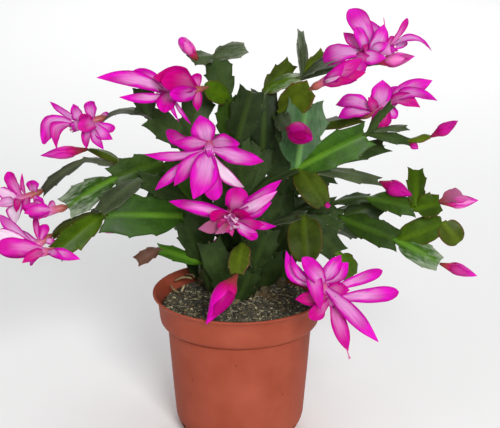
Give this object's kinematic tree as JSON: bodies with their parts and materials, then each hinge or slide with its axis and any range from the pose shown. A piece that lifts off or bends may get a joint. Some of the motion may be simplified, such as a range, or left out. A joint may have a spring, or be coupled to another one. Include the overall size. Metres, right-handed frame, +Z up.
{
  "type": "potted christmas cactus",
  "caption": "Christmas cactus in bloom: arching stems of flat toothed pads with layered flowers and pointed buds at their tips, in a tapered, banded nursery pot filled with peat.",
  "frame": {"origin": "centre of the pot's flat base, on the surface it stands on", "axes": "+Z up, -Y towards the viewer of the plant's front, +X to the viewer's right"},
  "size_m": [0.2845, 0.236, 0.259],
  "materials": {
    "cactus_pad": "waxy skin with a soft sheen",
    "petal": "satin, silky",
    "bud_petal": "satin",
    "terracotta_plastic": "moulded satin",
    "peat": "rough, crumbly"
  },
  "bodies": {
    "root": {"stem_left_low": "cactus_pad", "stem_left_mid": "cactus_pad", "stem_top_left": "cactus_pad", "stem_crown": "cactus_pad", "stem_right_top": "cactus_pad", "stem_right": "cactus_pad", "stem_front": "cactus_pad", "stem_back_left": "cactus_pad", "stem_back_mid": "cactus_pad", "stem_back_right": "cactus_pad", "bloom_top_right": "petal", "bloom_top_behind": "petal", "bloom_right": "petal", "bloom_top_left": "petal", "bloom_left_high": "petal", "bloom_centre": "petal", "bloom_centre_low": "petal", "bloom_front_right": "petal", "bloom_far_left_high": "petal", "bloom_far_left_mid": "petal", "bloom_far_left_low": "petal", "bloom_far_left_front": "petal", "bloom_back_left": "petal", "bloom_back_high": "petal", "bloom_back_low": "petal", "bloom_back_right": "petal", "bud_top_left": "bud_petal", "bud_centre": "bud_petal", "bud_top_right": "bud_petal", "bud_right_high": "bud_petal", "bud_right_mid": "bud_petal", "bud_right": "bud_petal", "bud_right_low": "bud_petal", "bud_front": "bud_petal", "bud_left": "bud_petal", "bud_back_left": "bud_petal", "bud_back_low": "bud_petal", "bud_back_right": "bud_petal", "pot": "terracotta_plastic", "soil": "peat"}
  },
  "joints": []
}
